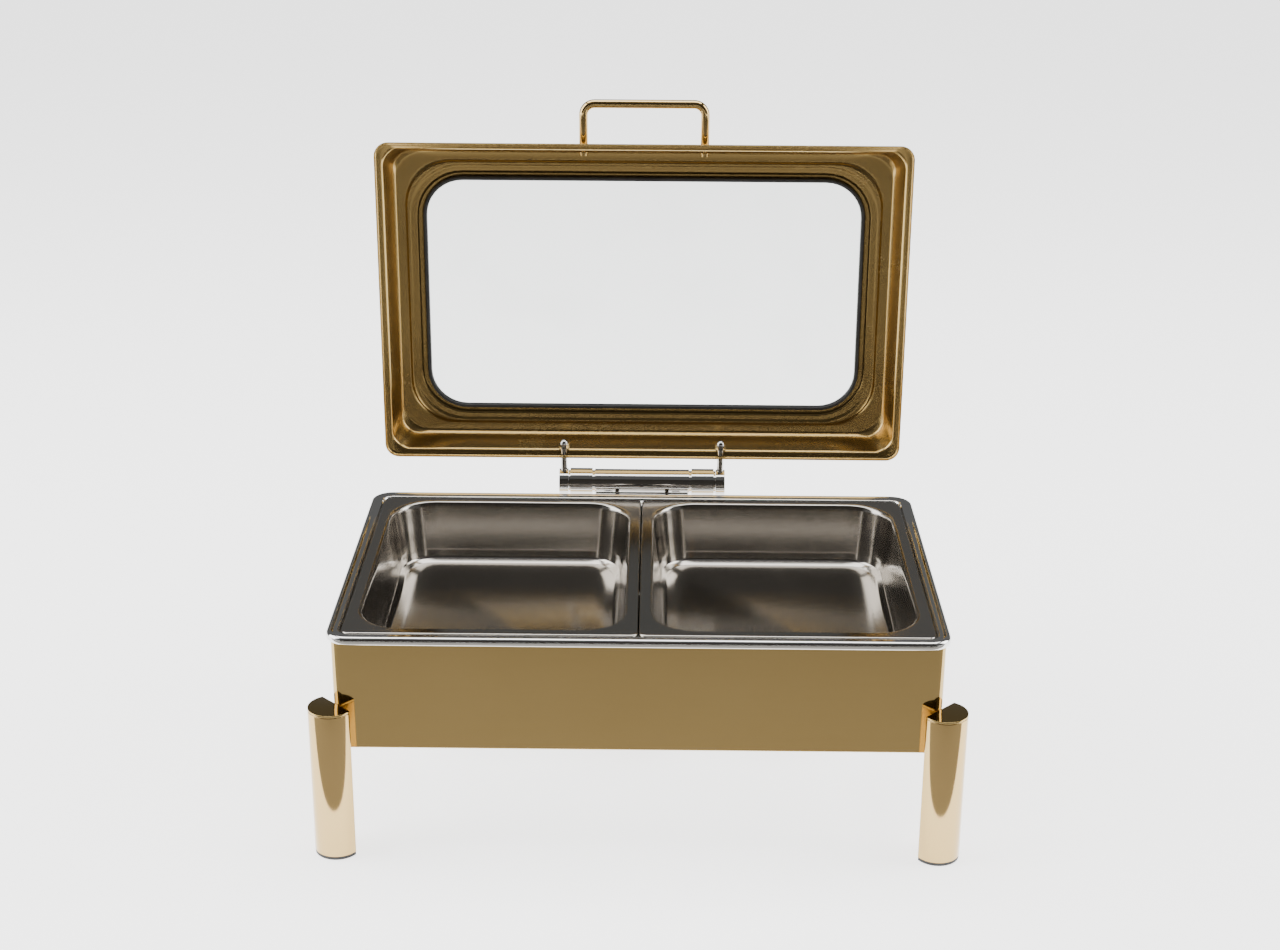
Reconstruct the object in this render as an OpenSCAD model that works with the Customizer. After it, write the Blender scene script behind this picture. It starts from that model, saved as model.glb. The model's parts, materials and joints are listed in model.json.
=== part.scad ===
// Rectangular buffet chafer with a window lid on a self-holding barrel hinge.
// The floor is z = 0, the diner's side is -Y, and the lid stands open.

/* [Body] */
// Width of the skirt, side to side
body_w = 547; // [540:1:556]
// Depth of the skirt, front to back
body_d = 340; // [334:1:348]
// Height of the skirt's lower edge above the floor
skirt_bottom = 104; // [96:1:112]
// Height of the skirt's upper edge above the floor
skirt_top = 210.8; // [206:0.2:210.8]
// Radius of the skirt's upright corners
corner_r = 9; // [7:1:12]
// Thickness of the skirt sheet
sheet = 1.2; // [0.8:0.1:1.5]
// Width of the folded hem along the skirt's edges
hem = 9; // [7:1:10]

/* [Water pan] */
// Width over the pan's rolled rim
rim_w = 557; // [555:1:559]
// Depth over the pan's rolled rim
rim_d = 352; // [350:1:354]
// Height of the ledge that the food pans rest on
ledge_z = 212; // [211.8:0.1:212.2]
// Height of the water pan's underside
water_z = 114; // [110:1:118]

/* [Food pans] */
// Width of one food pan over its flange
pan_w = 264.2; // [263:0.1:264.4]
// Depth of one food pan over its flange
pan_d = 325; // [322:1:326]
// Depth of a food pan below its flange
pan_deep = 65; // [60:1:68]
// Thickness of the pan sheet
pan_t = 0.8; // [0.7:0.1:1]

/* [Lid] */
// Width of the lid over its rolled edge
lid_w = 532; // [530:1:533]
// Depth of the lid over its rolled edge
lid_d = 329; // [327:1:330]
// Clearance under the closed lid's edge, above the pan ledge
lid_lift = 4; // [3.9:0.1:5]
// Width of the window opening in the gasket
window_w = 439; // [430:1:442]
// Depth of the window opening in the gasket
window_d = 238; // [230:1:240]
// Corner radius of the window opening
window_r = 37; // [30:1:40]
// Angle between the shut lid and the lid standing open
open_angle = 90; // [80:1:90]

/* [Handle] */
// Spacing of the handle's two posts
handle_w = 120; // [100:1:140]
// Reach of the handle's rod in front of the lid wall
handle_reach = 44; // [38:1:50]
// Diameter of the handle rod
handle_rod = 8.6; // [8:0.1:10]

/* [Hinge] */
// Distance of the hinge axis behind the body's middle
hinge_y = 192.6; // [192:0.1:194]
// Height of the hinge axis above the floor
hinge_z = 222.6; // [222:0.1:224]
// Radius of the centre barrel
barrel_r = 13.2; // [12.8:0.1:13.4]
// Radius of the two damper sleeves
sleeve_r = 14; // [13.6:0.1:14.2]
// Radius of the hinge shaft
shaft_r = 5; // [4.5:0.5:5]
// Radial running clearance of the hinge shaft
running = 0.05; // [0.03:0.01:0.08]

/* [Legs] */
// Height of a leg's top above the floor
leg_top = 147; // [140:1:152]
// Radius of the round side of a leg
leg_r = 20.8; // [19:0.1:22]
// Thickness of the leg tube's wall
leg_t = 1.5; // [1.2:0.1:2]

/* [Burners] */
// Height of the burner rack's floor
rack_z = 30; // [28:1:34]
// Distance of the burners behind the body's middle
rack_y = 15; // [10:1:20]
// Spacing of the two fuel cups
cup_gap = 260; // [220:1:280]
// Outer radius of a fuel cup
cup_r = 43; // [40:1:44]
// Height of a fuel cup
cup_h = 45; // [40:1:48]

/* [Hidden] */
$fn = 64;

gold = "#a8864b";
satin_gold = "#8f7440";
steel = "#c4c4c0";
chrome = "#e2e2e2";
black = "#1c1c1c";

// Lid heights, counted from the lid's lower edge
lid_wall_h = 34;
lid_crown = 40;
lid_step = 2.5;
sheet_lid = 1;
sheet_pan = 1;
lid_z = ledge_z + lid_lift;

// Leg places, counted from the skirt's square corner along its diagonal
leg_out = 2;
leg_flat = corner_r * (sqrt(2) - 1);
pad_h = 3;
cap_h = 2;

// The frame's origin lies under the middle of the whole box, lid open
front_reach = body_d / 2 + leg_out / sqrt(2) + leg_r;
gasket_proud = 1.5;
back_reach = hinge_y + (lid_z - hinge_z) + lid_crown + lid_step + gasket_proud;
body_y = (front_reach - back_reach) / 2;

// Hinge lengths along the axis, each from the middle
barrel_x = 49;
sleeve_x0 = 51.5;
sleeve_x1 = 74.5;
knuckle_x0 = 76.6;
knuckle_x1 = 86;
stud_x = 81.3;
stud_r = 3.4;
ring_t = 1.9;

// ---- shared shapes ----

// Points of a rounded rectangle, anticlockwise seen from above
arc_steps = 8;
function ring(hx, hy, r, z) = [
    for (c = [[1, 1, 0], [-1, 1, 90], [-1, -1, 180], [1, -1, 270]], k = [0:arc_steps])
        [c[0] * (hx - r) + r * cos(c[2] + 90 * k / arc_steps),
         c[1] * (hy - r) + r * sin(c[2] + 90 * k / arc_steps), z]];

// A pressed shell: each profile entry is [inset from the edge, corner radius, height].
// The profile runs from the inner floor, up over the rim and back to the outer floor;
// a looped one has a window in place of its floor.
module pressing(hx, hy, profile, looped = false) {
    n = 4 * (arc_steps + 1);
    m = len(profile);
    rings = [for (p = profile) ring(hx - p[0], hy - p[0], p[1], p[2])];
    walls = [for (i = [0:m - (looped ? 1 : 2)], j = [0:n - 1])
        [i * n + j, i * n + (j + 1) % n, ((i + 1) % m) * n + (j + 1) % n, ((i + 1) % m) * n + j]];
    floors = looped ? [] : [[for (j = [n - 1:-1:0]) j], [for (j = [0:n - 1]) (m - 1) * n + j]];
    polyhedron(points = [for (g = rings) each g], faces = concat(walls, floors), convexity = 8);
}

// The direction of a profile's side, and the closed outline of a sheet of thickness t
// whose first face follows the profile
function heading(a, b) = [b[0] - a[0], b[2] - a[2]] / norm([b[0] - a[0], b[2] - a[2]]);
function sheeted(p, t) = concat(p, [for (i = [len(p) - 1:-1:0]) let(
    u = heading(p[max(i - 1, 0)], p[max(i, 1)]),
    v = heading(p[min(i, len(p) - 2)], p[min(i + 1, len(p) - 1)]),
    m = (u + v) / (1 + u * v)) [p[i][0] - t * m[1], p[i][1] + t * m[1], p[i][2] + t * m[0]]]);

// A flat rounded rectangle with true arcs at its corners
module rounded(w, d, r) {
    union() {
        square([w - 2 * r, d], center = true);
        square([w, d - 2 * r], center = true);
        for (sx = [-1, 1], sy = [-1, 1])
            translate([sx * (w / 2 - r), sy * (d / 2 - r)]) circle(r);
    }
}

// A band between two rounded rectangles
module band(w, d, r, inset, h) {
    linear_extrude(h) difference() {
        rounded(w, d, r);
        rounded(w - 2 * inset, d - 2 * inset, max(r - inset, 1));
    }
}

// Moves what was drawn about the body's middle to the frame
module placed() {
    translate([0, body_y, 0]) children();
}

// Turns what was drawn on the shut lid to where the open lid has it
module opened() {
    placed() translate([0, hinge_y, hinge_z]) rotate([-open_angle, 0, 0])
        translate([0, -hinge_y, -hinge_z]) children();
}

// A rod along X between two places, on the hinge axis
module axle(x0, x1, r) {
    translate([x0, hinge_y, hinge_z]) rotate([0, 90, 0]) cylinder(h = x1 - x0, r = r);
}

// The same piece on the left (-1) or right (1)
module sided(side) {
    if (side < 0) mirror([1, 0, 0]) children();
    else children();
}

// ---- body ----

module skirt() {
    color(gold) placed() difference() {
        union() {
            translate([0, 0, skirt_bottom])
                band(body_w, body_d, corner_r, sheet, skirt_top - skirt_bottom);
            for (z = [skirt_bottom, skirt_top - sheet])
                translate([0, 0, z]) band(body_w, body_d, corner_r, hem, sheet);
        }
        for (sx = [-1, 1], sy = [-1, 1], z = leg_screw_z) at_corner(sx, sy, z)
            translate([0, 0, -2 * corner_r]) cylinder(h = 4 * corner_r, r = leg_screw_r);
        for (x = [-1, 1], z = hinge_bolt_z)
            translate([x * hinge_bolt_x, body_d / 2 + 1, z]) rotate([90, 0, 0])
                cylinder(h = 2 * sheet + 1, r = bolt_r);
        for (sx = [-1, 1], sy = [-1, 1])
            translate([sx * rack_screw_x, rack_y + sy * rack_screw_y, skirt_bottom - 1])
                cylinder(h = sheet + 2, r = rack_screw_r);
    }
}

// Water pan: a deep well, a ledge, a groove, a flat and a rolled rim over the skirt
module water_pan() {
    color(steel) placed() pressing(rim_w / 2, rim_d / 2, sheeted([
        [38, 22, water_z + sheet_pan], [31, 27, water_z + 4], [28, 29, water_z + 11],
        [22.2, 30, ledge_z - 3], [20.6, 30, ledge_z - 0.4], [19, 22, ledge_z],
        [13.2, 9, ledge_z], [12.3, 9.5, ledge_z + 0.8], [11.8, 10, ledge_z + 2.2],
        [10.6, 11, ledge_z + 3], [6.4, 15, ledge_z + 3.4], [4.6, 16.5, ledge_z + 4.2],
        [2.6, 18.5, ledge_z + 4.1], [0.9, 20, ledge_z + 2.6], [0, 21, ledge_z + 0.4],
        [0.3, 20.7, ledge_z - 2.4], [1.6, 19.6, ledge_z - 3.6]], sheet_pan));
}

// ---- legs ----

leg_screw_z = [118, 136];
leg_screw_r = 2.6;

// Frame of a corner: +Z runs outwards along the diagonal, from the skirt's square corner
module at_corner(sx, sy, z) {
    translate([sx * body_w / 2, sy * body_d / 2, z])
        rotate([0, 0, atan2(sy, sx)]) rotate([0, 90, 0]) children();
}

// Half-round outline of a leg; x runs outwards along the diagonal
module leg_outline(grow = 0) {
    intersection() {
        translate([leg_out, 0]) circle(leg_r + grow);
        translate([-leg_flat - grow, -leg_r * 2]) square([leg_r * 4, leg_r * 4]);
    }
}

module leg_prism(sx, sy, z, h, grow = 0) {
    placed() translate([sx * body_w / 2, sy * body_d / 2, z])
        rotate([0, 0, atan2(sy, sx)]) linear_extrude(h) leg_outline(grow);
}

module leg(sx, sy) {
    color(gold) difference() {
        leg_prism(sx, sy, pad_h, leg_top - cap_h - pad_h);
        leg_prism(sx, sy, 0, leg_top, -leg_t);
        placed() for (z = leg_screw_z) at_corner(sx, sy, z)
            translate([0, 0, -leg_flat - 1]) cylinder(h = leg_t + 2, r = leg_screw_r);
    }
}

module leg_cap(sx, sy) {
    color(gold) union() {
        leg_prism(sx, sy, leg_top - cap_h, cap_h);
        leg_prism(sx, sy, leg_top - cap_h - 3, 3, -leg_t - 0.1);
    }
}

module foot_pad(sx, sy) {
    color(black) union() {
        leg_prism(sx, sy, 0, pad_h);
        leg_prism(sx, sy, pad_h, 6, -leg_t - 0.1);
    }
}

// Screws through the skirt's corners into the flat side of each leg
head_in = (corner_r - sheet) * 0.8;
module leg_screws() {
    color(chrome) placed() for (sx = [-1, 1], sy = [-1, 1], z = leg_screw_z) at_corner(sx, sy, z) {
        seat = corner_r * sqrt(2) - head_in;
        translate([0, 0, -seat - 3]) cylinder(h = 3, r = 4.2);
        translate([0, 0, -seat]) cylinder(h = seat - leg_flat + 9, r = leg_screw_r - 0.1);
    }
}

module leg_nuts() {
    color(chrome) placed() for (sx = [-1, 1], sy = [-1, 1], z = leg_screw_z) at_corner(sx, sy, z)
        translate([0, 0, -leg_flat + leg_t]) difference() {
            cylinder(h = 4, r = 4.6, $fn = 6);
            translate([0, 0, -1]) cylinder(h = 6, r = leg_screw_r - 0.1);
        }
}

// ---- burners ----

rack_w = 60;
rack_t = 2;
rack_screw_x = body_w / 2 - 5;
rack_screw_y = 18;
rack_screw_r = 2.1;
rack_foot = 240;
rack_seat_r = 28;

module burner_rack() {
    outline = [[-rack_foot, 0], [rack_foot, 0], [body_w / 2 - 16, skirt_bottom - rack_z - rack_t],
        [body_w / 2 - 1, skirt_bottom - rack_z - rack_t], [body_w / 2 - 1, skirt_bottom - rack_z],
        [body_w / 2 - 17.5, skirt_bottom - rack_z], [rack_foot - 1.5, rack_t],
        [-rack_foot + 1.5, rack_t], [-body_w / 2 + 17.5, skirt_bottom - rack_z],
        [-body_w / 2 + 1, skirt_bottom - rack_z], [-body_w / 2 + 1, skirt_bottom - rack_z - rack_t],
        [-body_w / 2 + 16, skirt_bottom - rack_z - rack_t]];
    color(steel) placed() difference() {
        translate([0, rack_y + rack_w / 2, rack_z]) rotate([90, 0, 0])
            linear_extrude(rack_w) polygon(outline);
        for (sx = [-1, 1])
            translate([sx * cup_gap / 2, rack_y, rack_z - 1]) cylinder(h = rack_t + 2, r = rack_seat_r);
        for (sx = [-1, 1], sy = [-1, 1])
            translate([sx * rack_screw_x, rack_y + sy * rack_screw_y, skirt_bottom - 5])
                cylinder(h = 8, r = rack_screw_r);
    }
}

module rack_screws() {
    color(chrome) placed() for (sx = [-1, 1], sy = [-1, 1])
        translate([sx * rack_screw_x, rack_y + sy * rack_screw_y, skirt_bottom - rack_t]) {
            translate([0, 0, -2.4]) cylinder(h = 2.4, r = 3.8);
            cylinder(h = rack_t + sheet + 4, r = rack_screw_r - 0.1);
            translate([0, 0, rack_t + sheet]) difference() {
                cylinder(h = 3, r = 3.6, $fn = 6);
                translate([0, 0, -1]) cylinder(h = 5, r = rack_screw_r - 0.1);
            }
        }
}

cup_floor = rack_z + rack_t;
pivot_r = 2.5;
pivot_reach = cup_r + 6;

// Moves to a fuel cup's middle at the rack's upper face; the pivot lug faces outwards
module at_cup(side) {
    placed() translate([side * cup_gap / 2, rack_y, cup_floor]) sided(side) children();
}

module fuel_cup(side) {
    color(steel) at_cup(side) difference() {
        union() {
            rotate_extrude() difference() {
                polygon([[0, -rack_t - 1], [rack_seat_r - 0.4, -rack_t - 1], [rack_seat_r - 0.4, 0],
                    [cup_r, 0], [cup_r, cup_h], [0, cup_h]]);
                translate([-1, 1.5]) square([cup_r - 0.5, cup_h]);
                translate([-1, -rack_t - 2]) square([rack_seat_r - 1, rack_t + 2]);
            }
            translate([cup_r - 0.5, -5, cup_h - 6]) cube([pivot_reach - cup_r + 0.5, 10, 6]);
            translate([pivot_reach, 0, cup_h - 6]) cylinder(h = 6, r = 5);
        }
        translate([pivot_reach, 0, cup_h - 7]) cylinder(h = 8, r = pivot_r);
    }
}

cover_gap = 0.4;
cover_t = 1.5;
module cup_cover(side) {
    color(steel) at_cup(side) difference() {
        union() {
            translate([0, 0, cup_h + cover_gap]) cylinder(h = cover_t, r = cup_r);
            translate([cup_r - 3, -5, cup_h + cover_gap]) cube([pivot_reach - cup_r + 3, 10, cover_t]);
            translate([pivot_reach, 0, cup_h + cover_gap]) cylinder(h = cover_t, r = 5);
            translate([-cup_r - 9, -6, cup_h + cover_gap]) cube([14, 12, cover_t]);
            translate([-cup_r - 9, -6, cup_h + cover_gap]) cube([1.5, 12, 9]);
        }
        translate([pivot_reach, 0, cup_h]) cylinder(h = 4, r = pivot_r + running);
    }
}

module cover_pivot(side) {
    color(chrome) at_cup(side) translate([pivot_reach, 0, 0]) {
        translate([0, 0, cup_h - 8]) cylinder(h = 2, r = 4);
        translate([0, 0, cup_h - 6]) cylinder(h = 6 + 2 * cover_gap + cover_t, r = pivot_r);
        translate([0, 0, cup_h + 2 * cover_gap + cover_t]) cylinder(h = 1.6, r = 4);
    }
}

// ---- hinge ----

hinge_bolt_x = 36;
hinge_bolt_z = [158, 184];
bolt_r = 2.6;
plate_t = 3;
bracket_w = 96;
plate_z = 146;
plate_h = 54;
gusset_x = 26;
gusset_t = 4;
saddle_d = 23;
saddle_h = 7;

module hinge_bracket() {
    y0 = body_d / 2;
    color(chrome) placed() difference() {
        union() {
            translate([-bracket_w / 2, y0, plate_z]) cube([bracket_w, plate_t, plate_h]);
            for (x = [-gusset_x, gusset_x]) translate([x - gusset_t / 2, 0, 0])
                rotate([90, 0, 90]) linear_extrude(gusset_t)
                    polygon([[y0 + plate_t, plate_z + 14], [y0 + plate_t, plate_z + plate_h],
                        [hinge_y - 12, hinge_z - 16.6], [hinge_y - 8, hinge_z - 4],
                        [hinge_y + 12, hinge_z - 4], [hinge_y + 12, hinge_z - 17.6]]);
            translate([-bracket_w / 2, hinge_y - saddle_d / 2 + 0.5, hinge_z - barrel_r - 3])
                cube([bracket_w, saddle_d, saddle_h]);
        }
        axle(-bracket_w, bracket_w, barrel_r);
        for (x = [-1, 1], z = hinge_bolt_z) translate([x * hinge_bolt_x, y0 + plate_t + 1, z])
            rotate([90, 0, 0]) cylinder(h = plate_t + 2, r = bolt_r);
    }
}

module hinge_bolts() {
    y0 = body_d / 2;
    color(chrome) placed() for (x = [-1, 1], z = hinge_bolt_z)
        translate([x * hinge_bolt_x, y0 + plate_t, z]) rotate([90, 0, 0]) {
            translate([0, 0, -3.5]) cylinder(h = 3.5, r = 4.6, $fn = 6);
            cylinder(h = plate_t + sheet + 7, r = bolt_r - 0.1);
            translate([0, 0, plate_t + sheet]) difference() {
                cylinder(h = 4, r = 4.6, $fn = 6);
                translate([0, 0, -1]) cylinder(h = 6, r = bolt_r - 0.1);
            }
        }
}

module hinge_tube() {
    color(chrome) placed() difference() {
        axle(-barrel_x, barrel_x, barrel_r);
        axle(-barrel_x - 1, barrel_x + 1, shaft_r + running);
    }
}

// Sleeve: an open cup whose outer end is closed round the shaft
module damper_sleeve(side) {
    color(chrome) placed() sided(side) difference() {
        axle(sleeve_x0, sleeve_x1, sleeve_r);
        axle(sleeve_x0 - 1, sleeve_x1 - 2.5, sleeve_r - 2.5);
        axle(sleeve_x0, sleeve_x1 + 1, shaft_r + running);
    }
}

// Damper cartridge that fills the sleeve
module damper_core(side) {
    color(black) placed() sided(side) difference() {
        axle(sleeve_x0, sleeve_x1 - 2.5, sleeve_r - 2.5);
        axle(sleeve_x0 - 1, sleeve_x1, shaft_r + running);
    }
}

module hinge_rings() {
    color(chrome) placed() for (side = [-1, 1], x = [barrel_x, sleeve_x1]) sided(side)
        difference() {
            axle(x, x + (x == barrel_x ? sleeve_x0 - barrel_x : ring_t), barrel_r - 1.4);
            axle(x - 1, x + 4, shaft_r + running);
        }
}

module hinge_shaft() {
    color(steel) opened() axle(-knuckle_x1 + 2, knuckle_x1 - 2, shaft_r);
}

module hinge_knuckle(side) {
    color(chrome) opened() sided(side) difference() {
        axle(knuckle_x0, knuckle_x1, barrel_r);
        axle(knuckle_x0 - 1, knuckle_x1 - 2, shaft_r);
        translate([stud_x, hinge_y - shaft_r - 2, hinge_z]) rotate([90, 0, 0])
            cylinder(h = barrel_r, r = stud_r);
    }
}

// Stud from the knuckle through the lid's rear wall
wall_at_hinge = lid_d / 2 - 6.2;
nut_seat = 2.8;
module lid_stud(side) {
    color(chrome) opened() sided(side) translate([stud_x, hinge_y - shaft_r - 2, hinge_z])
        rotate([90, 0, 0]) cylinder(h = hinge_y - shaft_r - 2 - wall_at_hinge + 8, r = stud_r);
}

module acorn_nuts() {
    color(chrome) opened() for (side = [-1, 1]) sided(side)
        translate([stud_x, wall_at_hinge - nut_seat, hinge_z]) rotate([90, 0, 0]) difference() {
            union() {
                cylinder(h = 5, r = 5.4, $fn = 6);
                translate([0, 0, 5]) intersection() {
                    sphere(4.4);
                    cylinder(h = 6, r = 5);
                }
            }
            translate([0, 0, -1]) cylinder(h = 7.1, r = stud_r);
        }
}

// ---- lid, drawn shut ----

// Height of the lid's crown at the window
window_z = lid_z + lid_crown + lid_step;
shell_gap = 4;
shell_r = window_r + shell_gap;
window_inset = (lid_w - window_w) / 2 - shell_gap;

module lid_shell() {
    t = sheet_lid;
    crown = t - lid_crown;
    color(satin_gold) opened() difference() {
        translate([0, 0, lid_z]) rotate([180, 0, 0]) pressing(lid_w / 2, lid_d / 2, sheeted([
            [window_inset, shell_r, crown - lid_step], [38, shell_r + 4.5, crown - lid_step],
            [36, shell_r + 6.5, crown], [30.4, 53, crown + 0.4], [28.8, 50, crown + 1.6],
            [26.6, 47, crown + 1.6], [25, 45, crown], [16.4, 27, crown + 1],
            [13.4, 22, t - lid_wall_h - 1], [12.3, 21, t - lid_wall_h + 3], [7.8, 17, -7.4],
            [6.4, 16, -5.5], [4, 14.6, -4.4], [1.9, 13.4, -3.8], [t, 13, -2.6], [t, 13, 0]], t),
            looped = true);
        for (x = [-stud_x, stud_x]) translate([x, lid_d / 2, hinge_z]) rotate([90, 0, 0])
            cylinder(h = 20, r = stud_r);
        for (x = [-handle_w / 2, handle_w / 2]) translate([x, 20 - lid_d / 2, handle_z])
            rotate([90, 0, 0]) cylinder(h = 20, r = screw_r);
    }
}

// Rubber strip that grips both the shell's edge and the glass
glass_t = 3;
gasket_h = 3 * sheet_lid + glass_t + gasket_proud;
// Play between the strip and the shell's edge, over both sides
edge_gap = 0.5;
module window_gasket() {
    z0 = window_z + gasket_proud - gasket_h;
    outer = 2 * (shell_gap + 3.5);
    color(black) opened() difference() {
        translate([0, 0, z0]) band(window_w + outer, window_d + outer, window_r + outer / 2,
            outer / 2, gasket_h);
        translate([0, 0, window_z - sheet_lid]) difference() {
            linear_extrude(sheet_lid) rounded(window_w + 2 * outer, window_d + 2 * outer,
                window_r + outer);
            translate([0, 0, -1]) linear_extrude(sheet_lid + 2)
                rounded(lid_w - 2 * window_inset - edge_gap, lid_d - 2 * window_inset - edge_gap,
                    shell_r - edge_gap / 2);
        }
        translate([0, 0, glass_z]) linear_extrude(glass_t)
            rounded(window_w + 2 * glass_grip, window_d + 2 * glass_grip, window_r + glass_grip);
    }
}

glass_grip = 3;
glass_z = window_z - sheet_lid - glass_t - 0.8;
module window_glass() {
    color("#c8dcdc", 0.35) opened() translate([0, 0, glass_z]) linear_extrude(glass_t)
        rounded(window_w + 2 * glass_grip, window_d + 2 * glass_grip, window_r + glass_grip);
}

// ---- handle ----

handle_z = lid_z + 18;
handle_bend = 11;
screw_r = 1.9;
handle_wall = lid_d / 2 - 7.6;
washer_in = 3.6;
washer_t = 0.8;

module handle() {
    rod = handle_rod / 2;
    hx = handle_w / 2;
    color(gold) opened() translate([0, -handle_wall, handle_z]) difference() {
        union() {
            for (s = [-1, 1]) {
                translate([s * hx, 0, 0]) rotate([90, 0, 0])
                    cylinder(h = handle_reach - handle_bend, r = rod);
                translate([s * (hx - handle_bend), -handle_reach + handle_bend, 0])
                    rotate([0, 0, s > 0 ? -90 : 180]) rotate_extrude(angle = 90)
                        translate([handle_bend, 0]) circle(rod);
            }
            translate([-hx + handle_bend, -handle_reach, 0]) rotate([0, 90, 0])
                cylinder(h = handle_w - 2 * handle_bend, r = rod);
        }
        for (s = [-1, 1]) translate([s * hx, 1, 0]) rotate([90, 0, 0])
            cylinder(h = 14, r = screw_r - 0.1);
    }
}

module handle_screws() {
    color(chrome) opened() for (s = [-1, 1])
        translate([s * handle_w / 2, -handle_wall, handle_z]) rotate([90, 0, 0]) {
            translate([0, 0, -washer_in - washer_t]) cylinder(h = 16, r = screw_r - 0.1);
            translate([0, 0, -washer_in - washer_t - 3]) cylinder(h = 3, r = 4);
        }
}

module handle_washers() {
    color(chrome) opened() for (s = [-1, 1])
        translate([s * handle_w / 2, washer_in + washer_t - handle_wall, handle_z])
            rotate([90, 0, 0]) difference() {
                cylinder(h = washer_t, r = 5);
                translate([0, 0, -1]) cylinder(h = 3, r = screw_r - 0.1);
            }
}

// ---- food pans ----

pan_gap = 0.4;
// Half-size pan with a turned-down flange and a deep round-cornered well
module food_pan(side) {
    top = ledge_z + 3.2;
    inner = top - pan_deep + pan_t;
    color(steel) placed() translate([side * (pan_w / 2 + pan_gap), 0, 0])
        pressing(pan_w / 2, pan_d / 2, sheeted([
            [34, 26, inner], [25.4, 32, inner + 1.6], [20.4, 36, inner + 6],
            [18.4, 38, inner + 14], [12.9, 41, top - 5], [11.9, 41.6, top - 1.4],
            [10.6, 41.6, top - 0.3], [9.5, 40, top], [2.2, 8, top], [0.7, 7.6, top - 0.3],
            [0, 7.6, top - 1.2], [0, 7.6, top - 3.1]], pan_t));
}

skirt();
water_pan();
leg(-1, -1);  // leg_front_left
leg(1, -1);  // leg_front_right
leg(-1, 1);  // leg_rear_left
leg(1, 1);  // leg_rear_right
leg_cap(-1, -1);  // leg_cap_front_left
leg_cap(1, -1);  // leg_cap_front_right
leg_cap(-1, 1);  // leg_cap_rear_left
leg_cap(1, 1);  // leg_cap_rear_right
foot_pad(-1, -1);  // foot_pad_front_left
foot_pad(1, -1);  // foot_pad_front_right
foot_pad(-1, 1);  // foot_pad_rear_left
foot_pad(1, 1);  // foot_pad_rear_right
leg_screws();
leg_nuts();
burner_rack();
rack_screws();
fuel_cup(-1);  // fuel_cup_left
fuel_cup(1);  // fuel_cup_right
cup_cover(-1);  // cup_cover_left
cup_cover(1);  // cup_cover_right
cover_pivot(-1);  // cover_pivot_left
cover_pivot(1);  // cover_pivot_right
hinge_bracket();
hinge_bolts();
hinge_tube();
damper_sleeve(-1);  // damper_sleeve_left
damper_sleeve(1);  // damper_sleeve_right
damper_core(-1);  // damper_core_left
damper_core(1);  // damper_core_right
hinge_rings();
hinge_shaft();
hinge_knuckle(-1);  // hinge_knuckle_left
hinge_knuckle(1);  // hinge_knuckle_right
lid_stud(-1);  // lid_stud_left
lid_stud(1);  // lid_stud_right
acorn_nuts();
lid_shell();
window_gasket();
window_glass();
handle();
handle_screws();
handle_washers();
food_pan(-1);  // food_pan_left
food_pan(1);  // food_pan_right
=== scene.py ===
import json
from math import pi, radians, sqrt

import bpy
import numpy as np
from mathutils import Matrix, Vector


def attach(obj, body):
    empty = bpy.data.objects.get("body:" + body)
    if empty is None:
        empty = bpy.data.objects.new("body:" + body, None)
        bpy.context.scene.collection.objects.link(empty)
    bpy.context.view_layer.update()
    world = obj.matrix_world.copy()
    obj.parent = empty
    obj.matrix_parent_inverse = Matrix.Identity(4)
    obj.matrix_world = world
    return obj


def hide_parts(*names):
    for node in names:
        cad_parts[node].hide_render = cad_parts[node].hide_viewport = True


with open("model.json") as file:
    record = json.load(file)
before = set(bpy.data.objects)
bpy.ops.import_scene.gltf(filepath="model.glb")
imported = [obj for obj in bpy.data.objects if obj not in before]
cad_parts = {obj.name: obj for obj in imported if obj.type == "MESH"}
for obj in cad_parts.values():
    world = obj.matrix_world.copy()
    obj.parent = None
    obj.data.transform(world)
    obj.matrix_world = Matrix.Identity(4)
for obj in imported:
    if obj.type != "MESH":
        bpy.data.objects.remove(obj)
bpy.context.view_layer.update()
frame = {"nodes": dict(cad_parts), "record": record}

mm = 0.001
bodyY = -0.018893
hinge = Vector((0, 0.1926 + bodyY, 0.2226))


class Amount:
    # a number that varies over a surface, with ordinary arithmetic
    def __init__(self, surface, socket):
        self.surface, self.socket = surface, socket

    def made(self, operation, first, second):
        return self.surface.node("ShaderNodeMath", {"operation": operation}, {0: first, 1: second})

    def __add__(self, other): return self.made("ADD", self, other)
    def __radd__(self, other): return self.made("ADD", other, self)
    def __sub__(self, other): return self.made("SUBTRACT", self, other)
    def __mul__(self, other): return self.made("MULTIPLY", self, other)
    def above(self, other): return self.made("MAXIMUM", self, other)
    def below(self, other): return self.made("MINIMUM", self, other)


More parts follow.
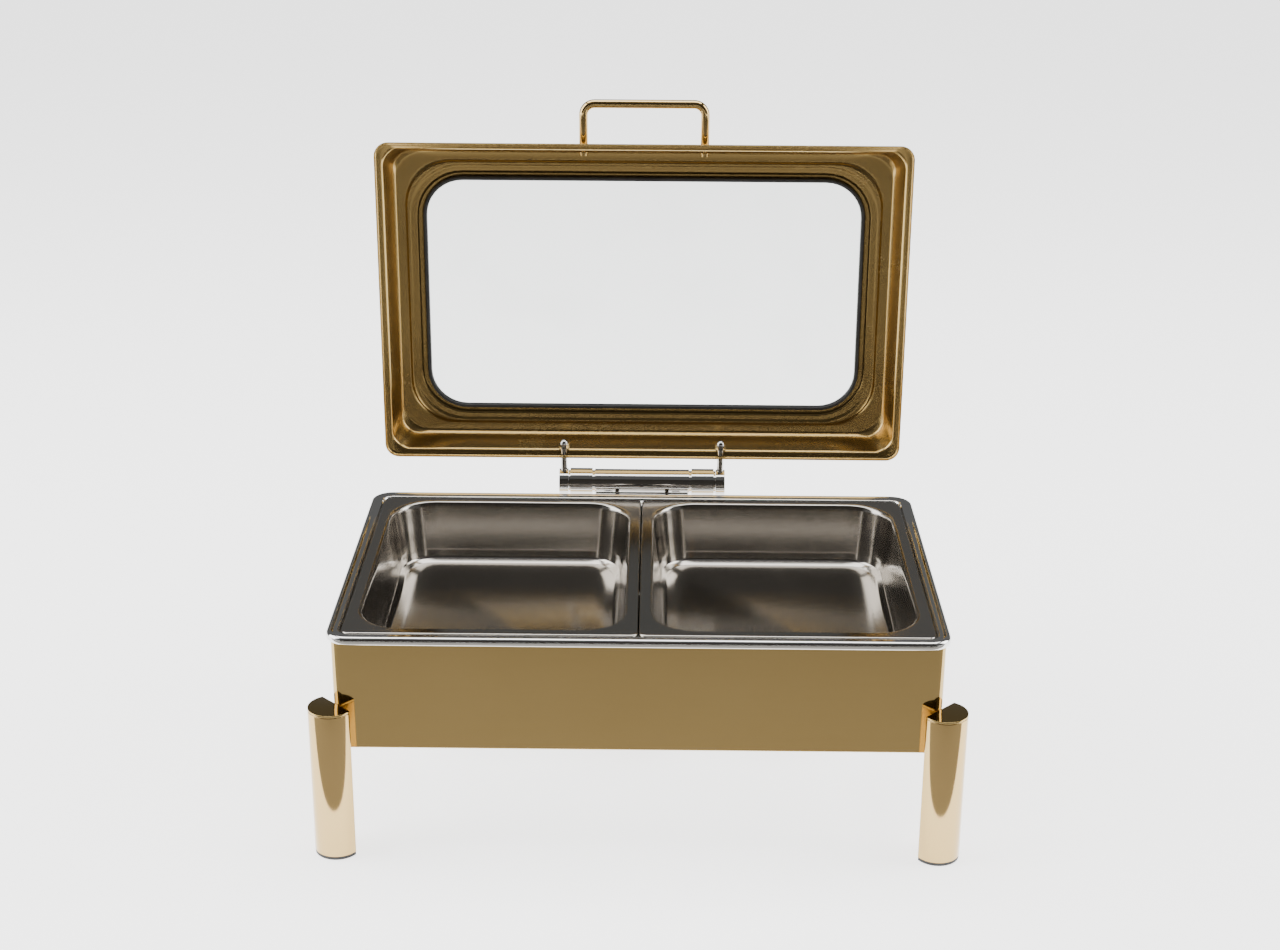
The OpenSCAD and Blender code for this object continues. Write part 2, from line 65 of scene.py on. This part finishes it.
class Surface:
    def __init__(self, name, **constants):
        self.material = bpy.data.materials.new(name)
        self.material.use_nodes = True
        self.tree = self.material.node_tree
        self.shader = self.tree.nodes["Principled BSDF"]
        self.place = self.node("ShaderNodeTexCoord", {}, {}, "Object")
        for key, value in constants.items():
            self.shader.inputs[key.replace("_", " ")].default_value = value

    def node(self, kind, settings, sockets, output=0):
        made = self.tree.nodes.new(kind)
        for key, value in settings.items():
            setattr(made, key, value)
        for key, value in sockets.items():
            if isinstance(value, Amount):
                self.tree.links.new(value.socket, made.inputs[key])
            else:
                made.inputs[key].default_value = value
        return Amount(self, made.outputs[output])

    def drive(self, key, value):
        self.tree.links.new(value.socket, self.shader.inputs[key])

    # noise over the object, drawn out along the axes whose scale is small
    def noise(self, scale, stretch=(1, 1, 1), detail=3.0, shift=0.0):
        moved = self.node("ShaderNodeMapping", {}, {"Vector": self.place, "Scale": stretch,
            "Location": (shift, shift, shift)})
        return self.node("ShaderNodeTexNoise", {}, {"Vector": moved, "Scale": scale,
            "Detail": detail, "Roughness": 0.55}, "Fac")

    def blend(self, share, first, second):
        return self.node("ShaderNodeMix", {"data_type": "RGBA"},
            {"Factor": share, 6: (*first, 1), 7: (*second, 1)}, 2)

    def relief(self, height, strength, depth):
        self.drive("Normal", self.node("ShaderNodeBump", {}, {"Height": height,
            "Strength": strength, "Distance": depth}))


def polished(name, light, dark, low, high, grain=(1, 30, 60), grainScale=22.0, relief=0.004):
    # fine grain lines, soft cloudiness and a few wiped smears
    made = Surface(name, Metallic=1.0)
    lines = made.noise(grainScale, grain, 5.0)
    cloud = made.noise(9.0, (1, 1, 1), 3.0, 4.2)
    smear = (made.noise(26.0, (1, 0.35, 1), 4.0, 9.1) - 0.55).above(0.0) * 2.2
    made.drive("Base Color", made.blend(cloud * 0.6 + lines * 0.4, dark, light))
    made.drive("Roughness", low + lines * (high - low) + smear * 0.06 + cloud * 0.02)
    made.relief(lines + smear * 0.2, relief, 0.0002)
    return made.material


def makeMaterials():
    made = {}
    made["goldPolished"] = polished("goldPolished", (0.52, 0.375, 0.16), (0.46, 0.325, 0.13),
        0.05, 0.10)
    made["goldLeg"] = polished("goldLeg", (0.62, 0.44, 0.19), (0.55, 0.38, 0.16), 0.07, 0.13,
        (40, 40, 1), 20.0)
    made["goldSatin"] = polished("goldSatin", (0.50, 0.35, 0.14), (0.43, 0.29, 0.105), 0.20, 0.28,
        (1, 60, 60), 40.0, 0.008)
    made["rimSteel"] = polished("rimSteel", (0.78, 0.78, 0.76), (0.68, 0.67, 0.65), 0.05, 0.10)
    # the pans' steel has a darker, browner base colour than the rim steel, as painted shade for
    # the dim reflections inside the pans
    made["panSteelShaded"] = polished("panSteelShaded", (0.47, 0.445, 0.405), (0.42, 0.395, 0.36), 0.12, 0.18)
    made["hingeChrome"] = polished("hingeChrome", (0.66, 0.65, 0.64), (0.58, 0.57, 0.55),
        0.04, 0.08, (8, 8, 8), 18.0)
    made["fastenerSteel"] = polished("fastenerSteel", (0.66, 0.65, 0.63), (0.45, 0.44, 0.42),
        0.18, 0.32, (8, 8, 8), 30.0)

    burner = Surface("burnerSteel", Metallic=1.0)
    lines = burner.noise(24.0, (1, 40, 8), 5.0)
    heat = (burner.noise(14.0, (1, 1, 1), 3.0, 2.0) - 0.45).above(0.0) * 3.0
    burner.drive("Base Color", burner.blend(heat.below(0.7), (0.56, 0.55, 0.53),
        (0.34, 0.25, 0.20)))
    burner.drive("Roughness", 0.22 + lines * 0.18 + heat * 0.1)
    burner.relief(lines, 0.12, 0.0002)
    made["burnerSteel"] = burner.material

    rubber = Surface("blackRubber", Metallic=0.0)
    grain = rubber.noise(900.0, (1, 1, 1), 2.0)
    dust = rubber.noise(40.0, (1, 1, 1), 4.0, 3.0)
    rubber.drive("Base Color", rubber.blend(dust, (0.010, 0.010, 0.010), (0.030, 0.029, 0.028)))
    rubber.drive("Roughness", 0.42 + grain * 0.2)
    rubber.relief(grain, 0.25, 0.0001)
    made["blackRubber"] = rubber.material

    damper = Surface("damperBlack", Metallic=0.0)
    grain = damper.noise(600.0, (1, 1, 1), 3.0)
    damper.drive("Base Color", damper.blend(grain, (0.020, 0.020, 0.022), (0.045, 0.045, 0.047)))
    damper.drive("Roughness", 0.38 + grain * 0.2)
    made["damperBlack"] = damper.material

    glass = Surface("clearGlass", Metallic=0.0, IOR=1.5)
    wipe = (glass.noise(12.0, (1, 3, 1), 5.0, 1.0) - 0.5).above(0.0)
    glass.drive("Base Color", glass.blend(wipe, (0.02, 0.03, 0.03), (0.20, 0.22, 0.22)))
    glass.drive("Roughness", 0.02 + wipe * 0.25)
    clear = glass.node("ShaderNodeBsdfTransparent", {}, {"Color": (0.985, 0.995, 0.99, 1)})
    output = next(n for n in glass.tree.nodes if n.type == "OUTPUT_MATERIAL")
    share = glass.node("ShaderNodeMixShader", {}, {0: 0.05 + wipe * 0.12, 1: clear,
        2: Amount(glass, glass.shader.outputs[0])})
    glass.tree.links.new(share.socket, output.inputs["Surface"])
    made["clearGlass"] = glass.material
    return made


materials = makeMaterials()
print("materials ready")


def deselect():
    if bpy.context.mode != "OBJECT":
        bpy.ops.object.mode_set(mode="OBJECT")
    bpy.ops.object.select_all(action="DESELECT")


def activate(obj):
    deselect()
    obj.select_set(True)
    bpy.context.view_layer.objects.active = obj


def editing(obj, kind="VERT"):
    activate(obj)
    bpy.ops.object.mode_set(mode="EDIT")
    bpy.ops.mesh.select_mode(type=kind)
    bpy.ops.mesh.select_all(action="DESELECT")


# selects the vertices for which test(x, y, z) holds, arrays in metres, and stays in edit mode
def choose(obj, test):
    bpy.ops.object.mode_set(mode="OBJECT")
    mesh = obj.data
    co = np.empty(len(mesh.vertices) * 3)
    mesh.vertices.foreach_get("co", co)
    co = co.reshape(-1, 3)
    chosen = np.array(test(co[:, 0], co[:, 1], co[:, 2]), bool)
    mesh.polygons.foreach_set("select", np.zeros(len(mesh.polygons), bool))
    mesh.edges.foreach_set("select", np.zeros(len(mesh.edges), bool))
    mesh.vertices.foreach_set("select", chosen)
    bpy.ops.object.mode_set(mode="EDIT")
    bpy.ops.mesh.select_mode(type="VERT")


def freeze(obj):
    activate(obj)
    bpy.ops.object.transform_apply(location=True, rotation=True, scale=True)


def applied(obj, kind, **settings):
    activate(obj)
    mod = obj.modifiers.new(kind.title(), kind)
    for key, value in settings.items():
        setattr(mod, key, value)
    bpy.ops.object.modifier_apply(modifier=mod.name)


def softened(obj, width, segments=2, angle=35):
    applied(obj, "BEVEL", width=width, segments=segments, limit_method="ANGLE",
        angle_limit=radians(angle), use_clamp_overlap=True, harden_normals=False)


def smoothed(obj, angle=40):
    activate(obj)
    bpy.ops.object.shade_smooth_by_angle(angle=radians(angle))


def outward(obj, inside=False):
    editing(obj)
    bpy.ops.mesh.select_all(action="SELECT")
    bpy.ops.mesh.normals_make_consistent(inside=inside)
    bpy.ops.object.mode_set(mode="OBJECT")


# makes the largest face of a sheet look along a direction
def facing(obj, direction):
    outward(obj)
    face = max(obj.data.polygons, key=lambda p: p.area * abs(p.normal.dot(direction)))
    if face.normal.dot(direction) < 0:
        outward(obj, True)


def finished(obj, name, material, body, nodes, angle=40):
    freeze(obj)
    smoothed(obj, angle)
    obj.name = name
    obj.data.name = name
    obj.data.materials.clear()
    obj.data.materials.append(materials[material])
    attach(obj, body)
    if nodes:
        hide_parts(*nodes)
    print("piece", name, len(obj.data.polygons))
    return obj


def copied(obj):
    activate(obj)
    bpy.ops.object.duplicate(linked=False)
    return bpy.context.active_object


def mirrored(obj, axis):
    editing(obj)
    bpy.ops.mesh.select_all(action="SELECT")
    value = tuple(-1 if i == axis else 1 for i in range(3))
    centre = (0, bodyY if axis == 1 else 0, 0)
    bpy.ops.transform.resize(value=value, center_override=centre)
    bpy.ops.mesh.normals_make_consistent(inside=False)
    bpy.ops.object.mode_set(mode="OBJECT")


def joined(objs):
    deselect()
    for o in objs:
        o.select_set(True)
    bpy.context.view_layer.objects.active = objs[0]
    bpy.ops.object.join()
    return objs[0]


# turns what was made on the shut lid to where the open lid has it
def opened(obj):
    editing(obj)
    bpy.ops.mesh.select_all(action="SELECT")
    bpy.ops.transform.rotate(value=radians(90), orient_axis="X", orient_type="GLOBAL",
        center_override=hinge)
    bpy.ops.object.mode_set(mode="OBJECT")


# an open profile of [inset, corner radius, height] with its bends rounded
def filleted(points, reach, steps=3):
    made = [points[0]]
    for before, at, after in zip(points, points[1:], points[2:]):
        a, p, b = np.array(before, float), np.array(at, float), np.array(after, float)
        lenA = np.hypot(*(a - p)[[0, 2]])
        lenB = np.hypot(*(b - p)[[0, 2]])
        start = p + (a - p) * min(reach / lenA, 0.42)
        end = p + (b - p) * min(reach / lenB, 0.42)
        for k in range(steps + 1):
            t = k / steps
            made.append(tuple((1 - t) ** 2 * start + 2 * t * (1 - t) * p + t ** 2 * end))
    made.append(points[-1])
    return made


# a rounded rectangle of edges, millimetres
def ring(hx, hy, r, z, centre=0.0, segments=9):
    bpy.ops.mesh.primitive_plane_add(size=1, location=(centre * mm, bodyY, z * mm))
    obj = bpy.context.active_object
    bpy.ops.object.mode_set(mode="EDIT")
    bpy.ops.mesh.select_all(action="SELECT")
    bpy.ops.transform.resize(value=(2 * hx * mm, 2 * hy * mm, 1))
    bpy.ops.mesh.bevel(offset=r * mm, offset_type="OFFSET", segments=segments,
        affect="VERTICES", clamp_overlap=False)
    bpy.ops.mesh.delete(type="ONLY_FACE")
    bpy.ops.object.mode_set(mode="OBJECT")
    return obj


# the height at which rings are bridged, and the step between two of them, in metres
partingLow = 10
partingStep = 0.1


# a pressed sheet through rings: each profile entry is [inset, corner radius, height].
# The rings are bridged far above, one clear step apart, and then brought to their heights
def pressed(hx, hy, profile, centre=0.0, looped=False, floor=False):
    lifts = [partingLow + partingStep * k for k in range(len(profile))]
    obj = joined([ring(hx - i, hy - i, r, lift / mm, centre)
        for (i, r, z), lift in zip(profile, lifts)])
    freeze(obj)
    editing(obj)

    def at(*heights):
        return lambda x, y, z: np.min([np.abs(z - h) for h in heights],
            axis=0) < partingStep / 10

    pairs = list(zip(lifts, lifts[1:])) + ([(lifts[-1], lifts[0])] if looped else [])
    for first, second in pairs:
        choose(obj, at(first, second))
        bpy.ops.mesh.bridge_edge_loops()
    for (inset, r, z), lift in zip(profile, lifts):
        choose(obj, at(lift))
        if floor and lift == lifts[0]:
            bpy.ops.mesh.edge_face_add()
        bpy.ops.transform.translate(value=(0, 0, z * mm - lift))
    bpy.ops.object.mode_set(mode="OBJECT")
    return obj


skirt = {"halfW": 273.5, "halfD": 170.0, "r": 9.0, "low": 104.0, "high": 210.8, "sheet": 1.2,
    "hem": 9.0, "fold": 1.1}


def makeSkirt(s):
    f = s["fold"]
    profile = filleted([(s["hem"], 1.0, s["high"]), (0, s["r"], s["high"]),
        (0, s["r"], s["low"]), (s["hem"], 1.0, s["low"])], f, 4)
    obj = pressed(s["halfW"], s["halfD"], profile)
    outward(obj)
    front = min(obj.data.polygons, key=lambda p: p.center.y)
    if front.normal.y > 0:
        outward(obj, True)
    applied(obj, "SOLIDIFY", thickness=s["sheet"] * mm, offset=-1)
    return finished(obj, "skirtSheet", "goldPolished", "body", ["skirt"])


makeSkirt(skirt)


ledge = 212.0
water = {"halfW": 278.5, "halfD": 176.0, "sheet": 1.0, "profile": [
    (38, 22, 115), (31, 27, 118), (28, 29, 125), (22.2, 30, ledge - 3), (20.6, 30, ledge - 0.4),
    (19, 22, ledge), (13.2, 9, ledge), (12.1, 10, ledge + 1.2), (11.4, 10.6, ledge + 2.8),
    (10.2, 11.6, ledge + 3.2), (6.4, 15, ledge + 3.4), (4.6, 16.5, ledge + 4.2),
    (2.6, 18.5, ledge + 4.2), (0.8, 20, ledge + 2.8), (0, 21, ledge + 0.6),
    (0.3, 20.7, ledge - 2.4), (1.6, 19.6, ledge - 3.6)]}


def makeWaterPan(s):
    obj = pressed(s["halfW"], s["halfD"], filleted(s["profile"], 1.2, 2), floor=True)
    facing(obj, Vector((0, 0, 1)))
    applied(obj, "SOLIDIFY", thickness=s["sheet"] * mm, offset=-1)
    return finished(obj, "waterPanSheet", "rimSteel", "body", ["water_pan"], 50)


makeWaterPan(water)


panTop = ledge + 3.2
food = {"halfW": 132.1, "halfD": 162.5, "gap": 0.4, "sheet": 0.8, "profile": [
    (34, 26, panTop - 64.2), (25.4, 32, panTop - 62.6), (20.4, 36, panTop - 58.2),
    (18.4, 38, panTop - 50.2), (12.9, 41, panTop - 5), (11.9, 41.6, panTop - 1.4),
    (10.6, 41.6, panTop - 0.3), (9.5, 40, panTop), (2.2, 8, panTop), (0.7, 7.6, panTop - 0.3),
    (0, 7.6, panTop - 1.2), (0, 7.6, panTop - 3.1)]}


def makeFoodPans(s):
    centre = s["halfW"] + s["gap"]
    right = pressed(s["halfW"], s["halfD"], filleted(s["profile"], 1.4, 3), centre, floor=True)
    facing(right, Vector((0, 0, 1)))
    applied(right, "SOLIDIFY", thickness=s["sheet"] * mm, offset=-1)
    left = copied(right)
    mirrored(left, 0)
    for obj, side in ((left, "left"), (right, "right")):
        finished(obj, "foodPan" + side.title(), "panSteelShaded", "food_pan_" + side,
            ["food_pan_" + side], 50)


makeFoodPans(food)


# the lid is made shut and then opened
lidLow = 216.0
lid = {"halfW": 266.0, "halfD": 164.5, "sheet": 1.0, "crown": 39.0, "step": 2.5,
    "windowInset": 44.3, "windowR": 39.2, "wallH": 33.0}


def makeLidShell(s):
    c = lidLow + s["crown"]
    w = lidLow + s["wallH"]
    wr = s["windowR"]
    profile = filleted([(s["windowInset"], wr, c + s["step"]), (38, wr + 6.3, c + s["step"]),
        (36, wr + 8.3, c), (30.4, 53, c - 0.4), (28.8, 50, c - 1.6), (26.6, 47, c - 1.6),
        (25, 45, c), (16.4, 27, c - 1), (13.4, 22, w + 1), (12.3, 21, w - 3),
        (7.8, 17, lidLow + 7.4), (6.4, 16, lidLow + 5.5), (4, 14.6, lidLow + 4.4),
        (1.9, 13.4, lidLow + 3.8), (1, 13, lidLow + 2.6), (1, 13, lidLow)], 1.3, 3)
    obj = pressed(s["halfW"], s["halfD"], profile)
    facing(obj, Vector((0, 0, -1)))
    applied(obj, "SOLIDIFY", thickness=s["sheet"] * mm, offset=-1)
    softened(obj, 0.0002, 1, 60)
    opened(obj)
    return finished(obj, "lidSheet", "goldSatin", "lid", ["lid_shell"], 50)


makeLidShell(lid)

# the strip holds the shell's edge and the glass
strip = {"halfW": 219.5, "halfD": 119.0, "r": 37.0, "low": 252.5, "high": 260.0, "outer": 3.8,
    "bite": 2.0, "rise": 1.2, "pane": 3.0}


def makeGasket(s):
    o, low, high = s["outer"], s["low"], s["high"]
    profile = [(0, s["r"], low + 1), (-0.8, s["r"] + 0.8, low), (-o + 1.2, s["r"] + o - 1.2, low),
        (-o, s["r"] + o, low + 1.2), (-o, s["r"] + o, high - 1.6),
        (-o + 1.6, s["r"] + o - 1.6, high), (-1.6, s["r"] + 1.6, high), (0, s["r"], high - 1.6)]
    obj = pressed(s["halfW"], s["halfD"], profile, looped=True)
    outward(obj)
    softened(obj, 0.0004, 2, 20)
    opened(obj)
    return finished(obj, "windowStrip", "blackRubber", "lid", ["window_gasket"])


def makeGlass(s):
    bite = s["bite"]
    obj = ring(s["halfW"] + bite, s["halfD"] + bite, s["r"] + bite, s["low"] + s["rise"])
    editing(obj)
    bpy.ops.mesh.select_all(action="SELECT")
    bpy.ops.mesh.edge_face_add()
    bpy.ops.mesh.extrude_region_move(TRANSFORM_OT_translate={"value": (0, 0, s["pane"] * mm)})
    bpy.ops.object.mode_set(mode="OBJECT")
    outward(obj)
    freeze(obj)
    opened(obj)
    return finished(obj, "windowPane", "clearGlass", "lid", ["window_glass"])


makeGasket(strip)
makeGlass(strip)


grip = {"half": 60.0, "rod": 4.3, "wall": 156.9, "reach": 44.0, "bend": 11.0, "z": 234.0,
    "sides": 28, "steps": 10}


def makeHandle(s):
    # one half, from the wall to the middle, then mirrored
    y0 = bodyY - s["wall"] * mm
    bpy.ops.mesh.primitive_circle_add(vertices=s["sides"], radius=s["rod"] * mm, fill_type="NGON",
        location=(s["half"] * mm, y0, s["z"] * mm), rotation=(pi / 2, 0, 0))
    obj = bpy.context.active_object
    freeze(obj)
    editing(obj, "FACE")
    bpy.ops.mesh.select_all(action="SELECT")
    post = (s["reach"] - s["bend"]) * mm
    bpy.ops.mesh.extrude_region_move(TRANSFORM_OT_translate={"value": (0, -post, 0)})
    hub = ((s["half"] - s["bend"]) * mm, y0 - post, s["z"] * mm)
    bpy.ops.mesh.spin(steps=s["steps"], angle=pi / 2, center=hub, axis=(0, 0, 1))
    middle = (s["half"] - s["bend"]) * mm
    bpy.ops.mesh.extrude_region_move(TRANSFORM_OT_translate={"value": (-middle, 0, 0)})
    bpy.ops.mesh.delete(type="FACE")
    bpy.ops.object.mode_set(mode="OBJECT")
    applied(obj, "MIRROR", use_axis=(True, False, False), merge_threshold=0.0002)
    outward(obj)
    softened(obj, 0.0006, 2, 60)
    opened(obj)
    return finished(obj, "handleRod", "goldLeg", "lid", ["handle"])


makeHandle(grip)


leg = {"r": 20.8, "out": 2.0, "flat": 9.0 * (sqrt(2) - 1), "cornerX": 273.5, "cornerY": 170.0,
    "sides": 72, "tube": (3.05, 144.6), "cap": (145, 147), "neck": (144.2, 145.4),
    "pad": (0, 3.2), "neckIn": -0.9, "padIn": -0.3, "tubeEase": 0.0007, "capEase": 0.0008}


# a half-round prism at the front right corner, between two heights
def halfRound(s, low, high, grow=0.0):
    bpy.ops.mesh.primitive_circle_add(vertices=s["sides"], radius=(s["r"] + grow) * mm,
        fill_type="NGON", location=(s["out"] * mm, 0, low * mm))
    obj = bpy.context.active_object
    freeze(obj)
    editing(obj)
    bpy.ops.mesh.select_all(action="SELECT")
    bpy.ops.mesh.bisect(plane_co=(-(s["flat"] + grow) * mm, 0, 0), plane_no=(1, 0, 0),
        clear_inner=True)
    bpy.ops.mesh.select_all(action="SELECT")
    bpy.ops.mesh.extrude_region_move(TRANSFORM_OT_translate={"value": (0, 0, (high - low) * mm)})
    bpy.ops.object.mode_set(mode="OBJECT")
    obj.rotation_euler = (0, 0, -pi / 4)
    obj.location = (s["cornerX"] * mm, -s["cornerY"] * mm + bodyY, 0)
    freeze(obj)
    outward(obj)
    return obj


def makeLegs(s):
    tube = halfRound(s, *s["tube"])
    softened(tube, s["tubeEase"], 3)
    cap = halfRound(s, *s["cap"])
    softened(cap, s["capEase"], 3)
    neck = halfRound(s, *s["neck"], s["neckIn"])
    pad = halfRound(s, *s["pad"], s["padIn"])
    softened(pad, s["capEase"], 3)
    cap = joined([cap, neck])
    kinds = ((tube, "legTube", "goldLeg", "gold_polished", "leg_"),
        (cap, "legCap", "goldPolished", "gold_polished", "leg_cap_"),
        (pad, "footPad", "blackRubber", "black_rubber", "foot_pad_"))
    for obj, name, material, slot, node in kinds:
        for back in (False, True):
            for left in (False, True):
                one = copied(obj)
                if back:
                    mirrored(one, 1)
                if left:
                    mirrored(one, 0)
                place = ("rear" if back else "front") + "_" + ("left" if left else "right")
                tail = "".join(word.title() for word in place.split("_"))
                finished(one, name + tail, material, "body", [node + place])
        activate(obj)
        bpy.ops.object.delete()


makeLegs(leg)


# hinge and burners: the drawn parts with eased edges
rounded = {"hinge_tube": 0.9, "damper_sleeve_left": 1.2, "damper_sleeve_right": 1.2,
    "hinge_knuckle_left": 1.4, "hinge_knuckle_right": 1.4, "hinge_rings": 0.4,
    "hinge_bracket": 0.5, "acorn_nuts": 0.4, "lid_stud_left": 0.3, "lid_stud_right": 0.3,
    "hinge_bolts": 0.4, "leg_screws": 0.5, "leg_nuts": 0.3, "rack_screws": 0.4,
    "burner_rack": 0.4, "fuel_cup_left": 0.35, "fuel_cup_right": 0.35, "cup_cover_left": 0.4,
    "cup_cover_right": 0.4, "cover_pivot_left": 0.3, "cover_pivot_right": 0.3,
    "handle_screws": 0.4, "handle_washers": 0.2}
slotLooks = {"hinge_chrome": "hingeChrome", "fastener_steel": "fastenerSteel",
    "burner_steel": "burnerSteel", "damper_black": "damperBlack", "rim_steel": "rimSteel",
    "gold_polished": "goldPolished", "gold_satin": "goldSatin", "pan_steel": "panSteelShaded",
    "black_rubber": "blackRubber", "clear_glass": "clearGlass"}
# these sit on gold sheet and are finished like it
nodeLooks = {"handle_screws": "goldSatin", "handle_washers": "goldSatin",
    "leg_screws": "goldPolished"}
for part in frame["record"]["subparts"]:
    node = frame["nodes"][part["node"]]
    node.data.materials.clear()
    look = nodeLooks.get(part["node"], slotLooks[part["material_slot"]])
    node.data.materials.append(materials[look])
    if part["node"] in rounded:
        ease = node.modifiers.new("Ease", "BEVEL")
        ease.width = rounded[part["node"]] * mm
        ease.segments = 3
        ease.limit_method = "ANGLE"
        ease.angle_limit = radians(35)
print("drawn parts dressed")


def plain(name, colour, rough, emission=0.0):
    made = Surface(name, Metallic=0.0, Roughness=rough)
    made.shader.inputs["Base Color"].default_value = (*colour, 1)
    if emission:
        made.shader.inputs["Emission Color"].default_value = (*colour, 1)
        made.shader.inputs["Emission Strength"].default_value = emission
    return made.material


# a flag shades the metal only, the camera looks through it
def card(name, size, place, turn, material, flag=False):
    bpy.ops.mesh.primitive_plane_add(size=1, location=place, rotation=turn)
    obj = bpy.context.active_object
    obj.name = name
    obj.scale = (*size, 1)
    obj.data.materials.append(material)
    obj.visible_camera = obj.visible_shadow = obj.visible_diffuse = not flag
    return obj


def lamp(name, size, place, target, power):
    bpy.ops.object.light_add(type="AREA", location=place)
    obj = bpy.context.active_object
    obj.name = name
    obj.data.shape = "RECTANGLE"
    obj.data.size, obj.data.size_y = size
    obj.data.energy = power
    aim = Vector(target) - Vector(place)
    obj.rotation_euler = aim.to_track_quat("-Z", "Y").to_euler()


upright = (radians(90), 0, 0)
card("floor", (24, 24), (0, 0, 0), (0, 0, 0), plain("paleFloor", (0.88, 0.88, 0.88), 0.7, 2.8))
dark = plain("darkCloth", (0.02, 0.017, 0.013), 0.95)
brown = plain("brownCloth", (0.14, 0.13, 0.115), 0.9)
middle = plain("greyCloth", (0.36, 0.345, 0.32), 0.9)
card("greyMat", (6, 0.63), (0, -0.595, 0.003), (0, 0, 0), middle, True)
card("brownMat", (6, 2.4), (0, -2.11, 0.002), (0, 0, 0), brown, True)
card("darkCard", (7, 4.0), (0, -4.2, 2.0), upright, dark, True)
lamp("leftSoftbox", (1.8, 2.4), (-2.3, -0.2, 1.4), (0, 0, 0.2), 75)
lamp("rightSoftbox", (1.4, 2.0), (2.4, 0.1, 1.4), (0, 0, 0.2), 55)
lamp("topSoftbox", (3.0, 1.6), (0, 0.3, 2.6), (0, 0, 0), 75)
world = bpy.data.worlds.new("studioAir")
bpy.context.scene.world = world
world.use_nodes = True
air = world.node_tree.nodes["Background"]
air.inputs["Color"].default_value = (1, 1, 1, 1)
air.inputs["Strength"].default_value = 0.14

view = {"lens": 58.3, "place": (0.0144, -1.8433, 1.0124), "yaw": 0.47, "down": 21.2,
    "roll": 0.34}
lens = bpy.data.cameras.new("viewLens")
lens.sensor_width = 36
lens.lens = view["lens"]
eye = bpy.data.objects.new("viewCamera", lens)
bpy.context.scene.collection.objects.link(eye)
turn = (Matrix.Rotation(radians(view["yaw"]), 4, "Z")
    @ Matrix.Rotation(radians(90 - view["down"]), 4, "X")
    @ Matrix.Rotation(radians(view["roll"]), 4, "Z"))
eye.matrix_world = Matrix.Translation(view["place"]) @ turn
bpy.context.scene.camera = eye

deselect()
